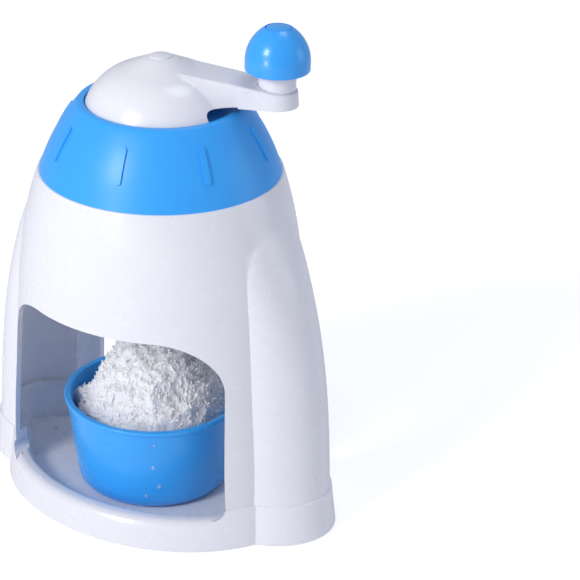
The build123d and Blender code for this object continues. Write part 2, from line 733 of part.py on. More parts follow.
def make_pusher_spring():
    # A round wire whose pitch opens from nearly closed ends to the middle, as biarcs of a
    # quarter turn, each tangent to its neighbours.
    height = spring_top_z - plate_top_z - 2 * spring_wire - 2 * press_gap
    start_z = plate_top_z + spring_wire + press_gap
    swell = height - spring_end_pitch * spring_turns

    def place(turn):
        share = turn / spring_turns
        angle = 2 * pi * turn
        z = start_z + height * share - swell * sin(2 * pi * share) / (2 * pi)
        rise = (height - swell * cos(2 * pi * share)) / spring_turns
        tangent = Vector(-2 * pi * spring_radius * sin(angle), 2 * pi * spring_radius * cos(angle), rise)
        return Vector(spring_radius * cos(angle), spring_radius * sin(angle), z), tangent.normalized()

    edges = []
    point, direction = place(0)
    for quarter in range(1, 4 * spring_turns + 1):
        target, arrival = place(quarter / 4)
        gap = target - point
        # Length of the two equal handles of a biarc between the ends.
        across = gap.dot(direction + arrival)
        spread = 2 * (1 - direction.dot(arrival))
        handle = (-across + (across ** 2 + spread * gap.dot(gap)) ** 0.5) / spread
        joint = (point + target + (direction - arrival) * handle) * 0.5
        middle = (target - point - (direction + arrival) * handle).normalized()
        edges.append(Edge.make_tangent_arc(point, direction, joint))
        edges.append(Edge.make_tangent_arc(joint, middle, target))
        point, direction = target, arrival
    wire = Wire(edges)
    first, heading = place(0)
    least = spring_end_pitch - 2 * spring_wire
    for step in range(4 * (spring_turns - 1)):
        least = min(least, (place(step / 4 + 1)[0] - place(step / 4)[0]).length - 2 * spring_wire)
    print(f"spring: {spring_turns} turns, least gap between turns {least:.2f} mm")
    return sweep(Plane(origin=first, z_dir=heading) * Circle(spring_wire), wire)


# ---------------------------------------------------------------- knob

def make_crank_knob():
    # Straight lower side, then two arcs up to the plug's groove; hollow below the web.
    side_z = knob_z + knob_straight
    cavity = knob_radius - knob_wall
    groove = plug_radius + plug_groove
    groove_z = knob_top_z - plug_groove_depth
    pocket = plug_radius + press_gap
    head_bore = pin_head_radius + seat_gap
    pin_bore = pin_radius + running_gap
    low_curve = TangentArc((knob_radius, side_z), (knob_shoulder_radius, knob_z + knob_shoulder), tangent=(0, 1))
    high_curve = TangentArc(low_curve @ 1, (groove, knob_top_z - plug_crown + 0.1), tangent=low_curve % 1)
    inside = Polyline(high_curve @ 1, (groove, groove_z), (pocket, groove_z), (pocket, plug_bottom_z),
                      (head_bore, plug_bottom_z), (head_bore, web_top_z), (pin_bore, web_top_z),
                      (pin_bore, web_bottom_z), (cavity - 1.0, web_bottom_z), (cavity, side_z), (cavity, knob_z),
                      (knob_radius, knob_z), (knob_radius, side_z))
    knob = turned(low_curve, high_curve, inside)
    knob = fillet(knob.edges().group_by(Axis.Z)[0].sort_by(SortBy.LENGTH)[-1], knob_edge_round)
    return to_crank * to_knob * knob


def make_knob_plug():
    # Its top carries on the knob's curve as a cap of a sphere.
    radius = (plug_radius ** 2 + plug_crown ** 2) / (2 * plug_crown)
    crown = CenterArc((0, knob_top_z - radius), radius, 90, -degrees(asin(plug_radius / radius)))
    plug = turned(crown, Polyline(crown @ 1, (plug_radius, plug_bottom_z), (0, plug_bottom_z), (0, knob_top_z)))
    return to_crank * to_knob * plug


# ---------------------------------------------------------------- pusher and bowl

def spike_places():
    places = []
    for radius, count in spike_rings:
        places += ring_of(count, radius, 180 / count)
    return places


def make_pusher_plate():
    radius = hopper_bore - pusher_clearance
    plate = disc(radius, pusher_z, plate_top_z)
    plate += disc(radius, plate_top_z, plate_top_z + pusher_rim_height) - disc(
        radius - pusher_rim, plate_top_z, plate_top_z + pusher_rim_height)
    plate += disc(pusher_hub_radius, plate_top_z, plate_top_z + pusher_hub)
    rib_start = spring_radius + spring_wire + 1.0
    rib_end = radius - pusher_rim / 2
    for place in ring_of(pusher_ribs, (rib_start + rib_end) / 2):
        plate += place * Pos(0, 0, plate_top_z + pusher_rim_height / 2) * Box(
            rib_end - rib_start, pusher_rib, pusher_rim_height)
    bore = square_bar(shaft_square + 2 * slide_gap, pusher_z, plate_top_z + pusher_hub)
    plate -= bore
    for place in spike_places():
        plate -= place * disc(spike_radius + press_gap, pusher_z, plate_top_z)
    return to_crank * plate


def make_pusher_spikes():
    point = pusher_z - spike_length
    spike = turned(Polyline((0, point), (spike_radius, point + 2.6), (spike_radius, plate_top_z), (0, plate_top_z),
                            (0, point)))
    return [to_crank * place * spike for place in spike_places()]


def make_serving_bowl():
    low_z = tray_floor_z
    high_z = tray_floor_z + bowl_height
    band_z = high_z - bowl_band
    inner = bowl_wall_radius - bowl_wall
    floor_z = low_z + bowl_wall
    outline = FilletPolyline((0, low_z), (bowl_bottom_radius, low_z), (bowl_wall_radius, band_z),
                             (bowl_rim_radius, band_z + 0.9), (bowl_rim_radius, high_z), (inner + 0.3, high_z),
                             (bowl_bottom_radius - bowl_wall, floor_z), (0, floor_z),
                             radius=[bowl_foot_round, 0.5, 0.4, 1.0, 1.0, bowl_foot_round - bowl_wall])
    bowl = turned(outline, Line((0, floor_z), (0, low_z)))
    bowl -= disc(bowl_bottom_radius - bowl_foot_round - 3.0, low_z, low_z + 0.7)
    return Pos(0, bowl_y, 0) * bowl


makers = {
    "base_tray": make_base_tray,
    "rubber_feet": make_rubber_feet,
    "base_screws": make_base_screws,
    "housing_shell": make_housing_shell,
    "ice_hopper": make_ice_hopper,
    "hopper_screws": make_hopper_screws,
    "shaving_blade": make_shaving_blade,
    "blade_clamp": make_blade_clamp,
    "blade_screws": make_blade_screws,
    "lid_ring": make_lid_ring,
    "shaft_bush": make_shaft_bush,
    "crank_cap": make_crank_cap,
    "drive_shaft": make_drive_shaft,
    "spring_washer": make_spring_washer,
    "stop_washer": make_stop_washer,
    "stop_screw": make_stop_screw,
    "cap_screw": make_cap_screw,
    "screw_cover": make_screw_cover,
    "knob_post": make_knob_post,
    "knob_pin": make_knob_pin,
    "knob_nut": make_knob_nut,
    "knob_washer": make_knob_washer,
    "pusher_spring": make_pusher_spring,
    "crank_knob": make_crank_knob,
    "knob_plug": make_knob_plug,
    "pusher_plate": make_pusher_plate,
    "pusher_spikes": make_pusher_spikes,
    "serving_bowl": make_serving_bowl,
}


def main():
    os.makedirs("parts", exist_ok=True)
    for name, maker in makers.items():
        made = maker()
        solids = made if isinstance(made, list) else [made]
        solids = [solid for item in solids for solid in item.solids()]
        export_step(Compound(label=name, children=solids), f"parts/{name}.step")


if __name__ == "__main__":
    main()
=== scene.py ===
# Looks of the hand-cranked ice shaver: finishes for the CAD nodes, the shaved ice in the bowl,
# the water beads, the studio floor, the lights and the camera.
import math
import random

import bmesh
import bpy
from mathutils import Euler, Matrix, Vector, noise


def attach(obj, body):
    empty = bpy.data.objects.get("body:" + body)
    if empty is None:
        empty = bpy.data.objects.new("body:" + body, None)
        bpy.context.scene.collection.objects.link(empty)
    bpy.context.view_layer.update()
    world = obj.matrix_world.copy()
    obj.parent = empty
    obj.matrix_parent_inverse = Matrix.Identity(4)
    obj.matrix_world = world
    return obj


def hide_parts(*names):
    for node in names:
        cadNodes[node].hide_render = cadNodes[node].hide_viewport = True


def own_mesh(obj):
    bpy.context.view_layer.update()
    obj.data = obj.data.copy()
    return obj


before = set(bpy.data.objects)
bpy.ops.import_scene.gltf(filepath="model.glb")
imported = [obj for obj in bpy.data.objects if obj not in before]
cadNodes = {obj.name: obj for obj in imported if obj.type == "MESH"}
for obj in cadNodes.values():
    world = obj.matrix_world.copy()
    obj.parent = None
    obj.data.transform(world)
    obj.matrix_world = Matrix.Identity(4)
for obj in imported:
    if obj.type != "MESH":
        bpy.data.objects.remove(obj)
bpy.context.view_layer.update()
scene = bpy.context.scene
print("frame loaded:", len(cadNodes), "nodes")


# ---- helpers for shaders

def addNode(tree, kind, **values):
    # values: a plain name sets a property of the node, and inN sets input socket N
    node = tree.nodes.new(kind)
    for key, value in values.items():
        if key.startswith("in") and key[2:].isdigit():
            node.inputs[int(key[2:])].default_value = value
        else:
            setattr(node, key, value)
    return node


def newGroup(name, inputs, outputs):
    tree = bpy.data.node_groups.new(name, "ShaderNodeTree")
    for label, kind, value in inputs:
        socket = tree.interface.new_socket(label, in_out="INPUT", socket_type=kind)
        socket.default_value = value
    for label, kind in outputs:
        tree.interface.new_socket(label, in_out="OUTPUT", socket_type=kind)
    return tree, tree.nodes.new("NodeGroupInput"), tree.nodes.new("NodeGroupOutput")


def math2(tree, operation, a, b, clamp=False):
    node = tree.nodes.new("ShaderNodeMath")
    node.operation = operation
    node.use_clamp = clamp
    for socket, value in zip(node.inputs, (a, b)):
        if isinstance(value, (int, float)):
            socket.default_value = value
        else:
            tree.links.new(value, socket)
    return node.outputs[0]


# soft mottling and fine orange peel of moulded plastic
mould = {"cloudScale": 30.0, "cloudDetail": 4.0, "cloudRough": 0.55, "peelScale": 900.0, "peelDetail": 2.0,
         "peelDepth": 0.3}


def makeMouldGroup():
    inputs = [("Cloud Scale", "NodeSocketFloat", mould["cloudScale"]),
              ("Peel Scale", "NodeSocketFloat", mould["peelScale"]),
              ("Peel Depth", "NodeSocketFloat", mould["peelDepth"])]
    outputs = [("Cloud", "NodeSocketFloat"), ("Height", "NodeSocketFloat")]
    tree, start, end = newGroup("mouldSkin", inputs, outputs)
    place = addNode(tree, "ShaderNodeTexCoord")
    cloud = addNode(tree, "ShaderNodeTexNoise")
    cloud.inputs["Detail"].default_value = mould["cloudDetail"]
    cloud.inputs["Roughness"].default_value = mould["cloudRough"]
    tree.links.new(place.outputs["Object"], cloud.inputs["Vector"])
    tree.links.new(start.outputs["Cloud Scale"], cloud.inputs["Scale"])
    peel = addNode(tree, "ShaderNodeTexNoise")
    peel.inputs["Detail"].default_value = mould["peelDetail"]
    tree.links.new(place.outputs["Object"], peel.inputs["Vector"])
    tree.links.new(start.outputs["Peel Scale"], peel.inputs["Scale"])
    height = math2(tree, "MULTIPLY", peel.outputs[0], start.outputs["Peel Depth"])
    tree.links.new(cloud.outputs[0], end.inputs["Cloud"])
    tree.links.new(height, end.inputs["Height"])
    return tree


# finger smudges and fine scuffs that vary the gloss
wearLook = {"smudgeScale": 45.0, "smudgeDetail": 5.0, "smudgeSwirl": 0.6, "smudgeMiddle": 0.5,
            "scuffScale": (140.0, 140.0, 1800.0), "scuffTurn": (0.4, 0.3, 0.2), "scuffDetail": 3.0,
            "scuffStart": 0.66, "scuffGain": 6.0}


def makeWearGroup():
    inputs = [("Base", "NodeSocketFloat", 0.2),
              ("Smudge", "NodeSocketFloat", 0.1),
              ("Scuff", "NodeSocketFloat", 0.1)]
    tree, start, end = newGroup("handlingWear", inputs, [("Roughness", "NodeSocketFloat")])
    place = addNode(tree, "ShaderNodeTexCoord")
    smudge = addNode(tree, "ShaderNodeTexNoise")
    smudge.inputs["Scale"].default_value = wearLook["smudgeScale"]
    smudge.inputs["Detail"].default_value = wearLook["smudgeDetail"]
    smudge.inputs["Distortion"].default_value = wearLook["smudgeSwirl"]
    tree.links.new(place.outputs["Object"], smudge.inputs["Vector"])
    stretch = addNode(tree, "ShaderNodeMapping")
    stretch.inputs["Scale"].default_value = wearLook["scuffScale"]
    stretch.inputs["Rotation"].default_value = wearLook["scuffTurn"]
    tree.links.new(place.outputs["Object"], stretch.inputs["Vector"])
    scuff = addNode(tree, "ShaderNodeTexNoise")
    scuff.inputs["Scale"].default_value = 1.0
    scuff.inputs["Detail"].default_value = wearLook["scuffDetail"]
    tree.links.new(stretch.outputs[0], scuff.inputs["Vector"])
    spots = math2(tree, "SUBTRACT", smudge.outputs[0], wearLook["smudgeMiddle"])
    smudgeMask = math2(tree, "MULTIPLY", spots, start.outputs["Smudge"])
    lines = math2(tree, "SUBTRACT", scuff.outputs[0], wearLook["scuffStart"], clamp=True)
    thin = math2(tree, "MULTIPLY", lines, wearLook["scuffGain"], clamp=True)
    scuffMask = math2(tree, "MULTIPLY", thin, start.outputs["Scuff"])
    smudged = math2(tree, "ADD", start.outputs["Base"], smudgeMask)
    tree.links.new(math2(tree, "ADD", smudged, scuffMask, clamp=True), end.inputs["Roughness"])
    return tree


# fine turned or ground lines on metal
toolMarks = {"across": 2500.0, "along": 60.0, "detail": 3.0}


def makeToolLinesGroup():
    inputs = [("Across", "NodeSocketFloat", toolMarks["across"]),
              ("Along", "NodeSocketFloat", toolMarks["along"])]
    tree, start, end = newGroup("toolLines", inputs, [("Lines", "NodeSocketFloat")])
    place = addNode(tree, "ShaderNodeTexCoord")
    scale = tree.nodes.new("ShaderNodeCombineXYZ")
    tree.links.new(start.outputs["Along"], scale.inputs[0])
    tree.links.new(start.outputs["Along"], scale.inputs[1])
    tree.links.new(start.outputs["Across"], scale.inputs[2])
    stretched = addNode(tree, "ShaderNodeVectorMath", operation="MULTIPLY")
    tree.links.new(place.outputs["Object"], stretched.inputs[0])
    tree.links.new(scale.outputs[0], stretched.inputs[1])
    lines = addNode(tree, "ShaderNodeTexNoise")
    lines.inputs["Scale"].default_value = 1.0
    lines.inputs["Detail"].default_value = toolMarks["detail"]
    tree.links.new(stretched.outputs[0], lines.inputs["Vector"])
    tree.links.new(lines.outputs[0], end.inputs["Lines"])
    return tree


mouldSkin = makeMouldGroup()
handlingWear = makeWearGroup()
toolLines = makeToolLinesGroup()


def placeGroup(tree, group, **values):
    node = tree.nodes.new("ShaderNodeGroup")
    node.node_tree = group
    for label, value in values.items():
        node.inputs[label.replace("_", " ")].default_value = value
    return node


def newMaterial(name):
    material = bpy.data.materials.new(name)
    material.use_nodes = True
    return material, material.node_tree, material.node_tree.nodes["Principled BSDF"]


def setPlain(shader, values):
    for label, value in values.items():
        shader.inputs[label].default_value = value


def mixColours(tree, factor, low, high, fromLow=0.0, fromHigh=1.0):
    spread = addNode(tree, "ShaderNodeMapRange")
    spread.inputs["From Min"].default_value = fromLow
    spread.inputs["From Max"].default_value = fromHigh
    tree.links.new(factor, spread.inputs["Value"])
    mix = addNode(tree, "ShaderNodeMix", data_type="RGBA")
    tree.links.new(spread.outputs["Result"], mix.inputs["Factor"])
    # the colour sockets of a Mix node share their names with its number sockets, so they go by place
    mix.inputs[6].default_value = (*low, 1.0)
    mix.inputs[7].default_value = (*high, 1.0)
    return mix.outputs[2]


def addBump(tree, shader, height, strength, distance):
    bump = addNode(tree, "ShaderNodeBump")
    bump.inputs["Strength"].default_value = strength
    bump.inputs["Distance"].default_value = distance
    tree.links.new(height, bump.inputs["Height"])
    tree.links.new(bump.outputs[0], shader.inputs["Normal"])


# the part of a mottling pattern's range over which its colour goes from low to high
mottleFrom = 0.3
mottleTo = 0.7


# ---- plastics

plastics = {
    "whiteGloss": {"low": (0.835, 0.835, 0.872), "high": (0.855, 0.855, 0.89), "rough": 0.27,
                   "smudge": 0.08, "scuff": 0.03, "coat": 0.2, "coatRough": 0.12, "peel": 0.22,
                   "ior": 1.49},
    "blueGloss": {"low": (0.036, 0.385, 0.95), "high": (0.042, 0.405, 0.97), "rough": 0.28,
                  "smudge": 0.08, "scuff": 0.03, "coat": 0.25, "coatRough": 0.12, "peel": 0.22,
                  "ior": 1.49},
    "blueRing": {"low": (0.036, 0.385, 0.95), "high": (0.042, 0.405, 0.97), "rough": 0.38,
                 "smudge": 0.08, "scuff": 0.03, "coat": 0.06, "coatRough": 0.16, "peel": 0.3,
                 "ior": 1.46},
    "whiteSatin": {"low": (0.74, 0.75, 0.79), "high": (0.82, 0.82, 0.85), "rough": 0.48,
                   "smudge": 0.2, "scuff": 0.2, "coat": 0.0, "coatRough": 0.1, "peel": 0.8,
                   "ior": 1.49},
    "acetal": {"low": (0.80, 0.79, 0.75), "high": (0.86, 0.85, 0.81), "rough": 0.38,
               "smudge": 0.12, "scuff": 0.25, "coat": 0.0, "coatRough": 0.1, "peel": 0.5,
               "ior": 1.48},
}
plasticBump = {"strength": 0.12, "depth": 0.0002}


def makePlastic(name, look):
    material, tree, shader = newMaterial(name)
    skin = placeGroup(tree, mouldSkin, Peel_Depth=look["peel"])
    wear = placeGroup(tree, handlingWear, Base=look["rough"], Smudge=look["smudge"], Scuff=look["scuff"])
    colour = mixColours(tree, skin.outputs["Cloud"], look["low"], look["high"], mottleFrom, mottleTo)
    tree.links.new(colour, shader.inputs["Base Color"])
    tree.links.new(wear.outputs["Roughness"], shader.inputs["Roughness"])
    addBump(tree, shader, skin.outputs["Height"], plasticBump["strength"], plasticBump["depth"])
    setPlain(shader, {"IOR": look["ior"], "Coat Weight": look["coat"],
                      "Coat Roughness": look["coatRough"]})
    return material


# ---- metals and rubber

metals = {
    "bladeSteel": {"low": (0.52, 0.53, 0.55), "high": (0.70, 0.71, 0.73), "rough": 0.22,
                   "lines": 0.16, "across": 4200.0},
    "screwSteel": {"low": (0.46, 0.47, 0.49), "high": (0.62, 0.63, 0.65), "rough": 0.30,
                   "lines": 0.14, "across": 2600.0},
    "springSteel": {"low": (0.42, 0.43, 0.45), "high": (0.60, 0.61, 0.64), "rough": 0.24,
                    "lines": 0.10, "across": 1500.0},
}
metalWear = {"smudge": 0.15, "scuff": 0.2, "bump": 0.15, "bumpDepth": 0.00005}


def makeMetal(name, look):
    material, tree, shader = newMaterial(name)
    lines = placeGroup(tree, toolLines, Across=look["across"])
    wear = placeGroup(tree, handlingWear, Base=look["rough"], Smudge=metalWear["smudge"],
                      Scuff=metalWear["scuff"])
    colour = mixColours(tree, lines.outputs["Lines"], look["low"], look["high"], mottleFrom, mottleTo)
    tree.links.new(colour, shader.inputs["Base Color"])
    spread = math2(tree, "MULTIPLY", lines.outputs["Lines"], look["lines"])
    rough = math2(tree, "ADD", wear.outputs["Roughness"], spread, clamp=True)
    tree.links.new(rough, shader.inputs["Roughness"])
    addBump(tree, shader, lines.outputs["Lines"], metalWear["bump"], metalWear["bumpDepth"])
    setPlain(shader, {"Metallic": 1.0})
    return material


rubber = {"low": (0.030, 0.030, 0.033), "high": (0.060, 0.060, 0.064), "rough": 0.75,
          "cloudScale": 220.0, "peelScale": 2600.0, "peel": 1.0, "smudge": 0.2, "scuff": 0.1,
          "bump": 0.4, "bumpDepth": 0.0002}


def makeRubber():
    material, tree, shader = newMaterial("footRubber")
    skin = placeGroup(tree, mouldSkin, Cloud_Scale=rubber["cloudScale"], Peel_Scale=rubber["peelScale"],
                      Peel_Depth=rubber["peel"])
    wear = placeGroup(tree, handlingWear, Base=rubber["rough"], Smudge=rubber["smudge"],
                      Scuff=rubber["scuff"])
    colour = mixColours(tree, skin.outputs["Cloud"], rubber["low"], rubber["high"], mottleFrom, mottleTo)
    tree.links.new(colour, shader.inputs["Base Color"])
    tree.links.new(wear.outputs["Roughness"], shader.inputs["Roughness"])
    addBump(tree, shader, skin.outputs["Height"], rubber["bump"], rubber["bumpDepth"])
    return material


# ---- ice and water

iceLook = {"packed": (0.93, 0.94, 0.975), "loose": (0.985, 0.985, 0.995), "from": 0.35, "to": 0.62,
           "lumpScale": 260.0, "lumpDetail": 6.0, "grainScale": 1500.0, "rough": 0.45,
           "grainRough": 0.4, "roughDrop": 0.15, "grainHeight": 0.6, "bump": 0.5, "bumpDepth": 0.0004,
           "ior": 1.31, "subsurface": 0.5, "depth": 0.006, "depthOfColour": (0.8, 0.9, 1.0)}
shardLook = {"low": (0.94, 0.95, 0.985), "high": (0.99, 0.99, 0.995), "from": 0.35, "to": 0.65,
             "scale": 700.0, "detail": 3.0, "rough": 0.5, "bump": 0.3, "bumpDepth": 0.0001,
             "ior": 1.31, "sheen": 0.3}
waterLook = {"low": (0.95, 0.98, 1.0), "high": (1.0, 1.0, 1.0), "scale": 400.0, "rough": 0.06,
             "ior": 1.33, "clear": 0.75}


def makeIceMaterial():
    material, tree, shader = newMaterial("shavedIce")
    place = addNode(tree, "ShaderNodeTexCoord")
    lumps = addNode(tree, "ShaderNodeTexNoise")
    lumps.inputs["Scale"].default_value = iceLook["lumpScale"]
    lumps.inputs["Detail"].default_value = iceLook["lumpDetail"]
    grains = addNode(tree, "ShaderNodeTexVoronoi")
    grains.inputs["Scale"].default_value = iceLook["grainScale"]
    for texture in (lumps, grains):
        tree.links.new(place.outputs["Object"], texture.inputs["Vector"])
    colour = mixColours(tree, lumps.outputs[0], iceLook["packed"], iceLook["loose"], iceLook["from"],
                        iceLook["to"])
    tree.links.new(colour, shader.inputs["Base Color"])
    grainRough = math2(tree, "MULTIPLY", grains.outputs["Distance"], iceLook["grainRough"])
    rough = math2(tree, "ADD", grainRough, iceLook["rough"] - iceLook["roughDrop"], clamp=True)
    tree.links.new(rough, shader.inputs["Roughness"])
    grainHeight = math2(tree, "MULTIPLY", grains.outputs["Distance"], iceLook["grainHeight"])
    height = math2(tree, "ADD", grainHeight, lumps.outputs[0])
    addBump(tree, shader, height, iceLook["bump"], iceLook["bumpDepth"])
    setPlain(shader, {"IOR": iceLook["ior"], "Subsurface Weight": iceLook["subsurface"],
                      "Subsurface Scale": iceLook["depth"],
                      "Subsurface Radius": iceLook["depthOfColour"]})
    return material


def makeShardMaterial():
    material, tree, shader = newMaterial("iceShards")
    place = addNode(tree, "ShaderNodeTexCoord")
    frost = addNode(tree, "ShaderNodeTexNoise")
    frost.inputs["Scale"].default_value = shardLook["scale"]
    frost.inputs["Detail"].default_value = shardLook["detail"]
    tree.links.new(place.outputs["Object"], frost.inputs["Vector"])
    colour = mixColours(tree, frost.outputs[0], shardLook["low"], shardLook["high"], shardLook["from"],
                        shardLook["to"])
    tree.links.new(colour, shader.inputs["Base Color"])
    rough = math2(tree, "MULTIPLY", frost.outputs[0], shardLook["rough"])
    tree.links.new(rough, shader.inputs["Roughness"])
    addBump(tree, shader, frost.outputs[0], shardLook["bump"], shardLook["bumpDepth"])
    setPlain(shader, {"IOR": shardLook["ior"], "Sheen Weight": shardLook["sheen"]})
    return material


def makeWaterMaterial():
    material, tree, shader = newMaterial("waterBead")
    place = addNode(tree, "ShaderNodeTexCoord")
    swirl = addNode(tree, "ShaderNodeTexNoise")
    swirl.inputs["Scale"].default_value = waterLook["scale"]
    tree.links.new(place.outputs["Object"], swirl.inputs["Vector"])
    rough = math2(tree, "MULTIPLY", swirl.outputs[0], waterLook["rough"])
    tree.links.new(rough, shader.inputs["Roughness"])
    colour = mixColours(tree, swirl.outputs[0], waterLook["low"], waterLook["high"])
    tree.links.new(colour, shader.inputs["Base Color"])
    setPlain(shader, {"IOR": waterLook["ior"], "Transmission Weight": waterLook["clear"]})
    return material


finishes = {name: makePlastic(name, look) for name, look in plastics.items()}
finishes.update({name: makeMetal(name, look) for name, look in metals.items()})
finishes["footRubber"] = makeRubber()
finishes["ice"] = makeIceMaterial()
finishes["shards"] = makeShardMaterial()
finishes["water"] = makeWaterMaterial()
print("finishes made:", len(finishes))

# ---- which finish each CAD node wears

nodeFinish = {
    "base_tray": "whiteGloss", "rubber_feet": "footRubber", "base_screws": "screwSteel",
    "housing_shell": "whiteGloss", "ice_hopper": "whiteSatin", "hopper_screws": "screwSteel",
    "shaving_blade": "bladeSteel", "blade_clamp": "acetal", "blade_screws": "screwSteel",
    "lid_ring": "blueRing", "shaft_bush": "acetal", "crank_cap": "whiteGloss",
    "drive_shaft": "screwSteel", "spring_washer": "screwSteel", "stop_washer": "screwSteel",
    "stop_screw": "screwSteel", "cap_screw": "screwSteel", "screw_cover": "whiteGloss",
    "knob_post": "whiteGloss", "knob_pin": "screwSteel", "knob_nut": "screwSteel",
    "knob_washer": "screwSteel", "pusher_spring": "springSteel", "crank_knob": "blueGloss",
    "knob_plug": "blueGloss", "pusher_plate": "whiteSatin", "pusher_spikes": "bladeSteel",
    "serving_bowl": "blueGloss",
}
smoothing = {"weld": 0.00001, "angle": 32.0}

for name, node in cadNodes.items():
    node.data.materials.clear()
    node.data.materials.append(finishes[nodeFinish[name]])
    for face in node.data.polygons:
        face.use_smooth = True
    weld = node.modifiers.new("weld", "WELD")
    weld.merge_threshold = smoothing["weld"]
    split = node.modifiers.new("creases", "EDGE_SPLIT")
    split.split_angle = math.radians(smoothing["angle"])
print("CAD nodes finished")


# ---- shaved ice in the bowl

ice = {"centre": (0.0015, -0.0075), "rimRadius": 0.0385, "rimHeight": 0.0475, "peak": 0.1035,
       "peakAt": (0.003, 0.003), "floor": 0.0096, "floorRadius": 0.030, "steepness": 1.6,
       "subdivisions": 7, "seed": 11}
# how the roughness points outwards and dies away at the rim, and how the hidden underside closes
moundForm = {"sideways": 0.7, "upwards": 0.75, "fadeRate": 3.0, "fadeLeast": 0.2, "closeRate": 1.6,
             "dropRate": 1.25}
bowlMiddle = (0.0, -0.0065)
# each layer of roughness: features per metre, then how far they push the surface
iceLayers = ((60.0, 0.0040), (150.0, 0.0026), (380.0, 0.0016), (950.0, 0.0010))
layerOffset = (3.1, 7.7, 1.9)
ridgeSharpness = 1.6
# loose clumps against the wall: angle from the bowl's middle, reach, height and size
iceClumps = ((197.0, 0.0350, 0.0450, 0.0080), (222.0, 0.0355, 0.0440, 0.0060),
             (60.0, 0.0340, 0.0450, 0.0080))
clumpSubdivisions = 5
clumpRoughness = 0.8
flakeKinds = ({"count": 5200, "long": 0.0024, "wide": 0.0010, "thick": 0.00035, "lift": 0.0004},
              {"count": 1500, "long": 0.0046, "wide": 0.0014, "thick": 0.0005, "lift": 0.0010})
# where flakes may sit, and the ranges that each flake's size, stretch, lift and pinch are drawn from
flakeDraw = {"belowRim": 0.003, "leastUp": 0.02, "size": (0.4, 1.0), "stretch": (0.5, 1.2),
             "lift": (-0.3, 1.0), "pinch": (0.1, 0.8)}


def iceHeight(x, y):
    # height of the mound over the bowl's middle, before its lumps
    share = min(1.0, math.hypot(x, y) / ice["rimRadius"])
    return ice["rimHeight"] + (ice["peak"] - ice["rimHeight"]) * (1.0 - share ** ice["steepness"])


def iceRoughness(point):
    # turned inside out, so that the layers stand up in ridges and crumbs and not in dents
    push = 0.0
    for layer, (density, depth) in enumerate(iceLayers):
        at = point * density + Vector(layerOffset) * (layer + 1)
        push += depth * (0.5 - abs(noise.noise(at)) * ridgeSharpness)
    return push


def moundPoint(x, y, z):
    # where a point of the unit sphere goes: its upper half is the heap, its lower half fills the bowl
    flat = math.hypot(x, y)
    turnX, turnY = (x / flat, y / flat) if flat > 1e-9 else (0.0, 0.0)
    if z >= 0:
        share = 2.0 * math.acos(min(1.0, z)) / math.pi
        radius = ice["rimRadius"] * share
        fade = min(1.0, moundForm["fadeRate"] * (1.0 - share) + moundForm["fadeLeast"])
        lean = 1.0 - share
        height = iceHeight(turnX * radius, turnY * radius)
        point = Vector((turnX * radius + ice["peakAt"][0] * lean,
                        turnY * radius + ice["peakAt"][1] * lean, height))
        outward = Vector((turnX * moundForm["sideways"], turnY * moundForm["sideways"],
                          moundForm["upwards"]))
        return point + outward * iceRoughness(point) * fade
    depth = -z
    radius = ice["rimRadius"] + (ice["floorRadius"] - ice["rimRadius"]) * depth
    shrink = min(1.0, flat * moundForm["closeRate"])
    drop = (ice["floor"] - ice["rimHeight"]) * min(1.0, depth * moundForm["dropRate"])
    return Vector((turnX * radius * shrink, turnY * radius * shrink, ice["rimHeight"] + drop))


def makeIceMound():
    mesh = bmesh.new()
    bmesh.ops.create_icosphere(mesh, subdivisions=ice["subdivisions"], radius=1.0)
    for vert in mesh.verts:
        vert.co = moundPoint(*vert.co)
    bmesh.ops.translate(mesh, verts=mesh.verts, vec=(*ice["centre"], 0.0))
    for angle, reach, height, size in iceClumps:
        turn = math.radians(angle)
        middle = Vector((reach * math.cos(turn), bowlMiddle[1] + reach * math.sin(turn), height))
        clump = bmesh.ops.create_icosphere(mesh, subdivisions=clumpSubdivisions, radius=1.0)
        for vert in clump["verts"]:
            outward = vert.co.copy()
            point = middle + outward * size
            vert.co = point + outward * iceRoughness(point) * clumpRoughness
    bmesh.ops.recalc_face_normals(mesh, faces=mesh.faces)
    for face in mesh.faces:
        face.smooth = True
    return mesh


def finishPiece(name, mesh, material, body):
    data = bpy.data.meshes.new(name)
    mesh.to_mesh(data)
    mesh.free()
    data.materials.append(finishes[material])
    piece = bpy.data.objects.new(name, data)
    scene.collection.objects.link(piece)
    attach(piece, body)
    return piece


def makePressSpring():
    # the spring, as a piece of its own with a copy of its CAD node's mesh, carried by the crank's body
    mesh = bmesh.new()
    mesh.from_mesh(cadNodes["pusher_spring"].data)
    bmesh.ops.remove_doubles(mesh, verts=mesh.verts, dist=smoothing["weld"])
    for face in mesh.faces:
        face.smooth = True
    piece = finishPiece("pressSpring", mesh, "springSteel", "crank")
    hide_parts("pusher_spring")
    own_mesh(piece)


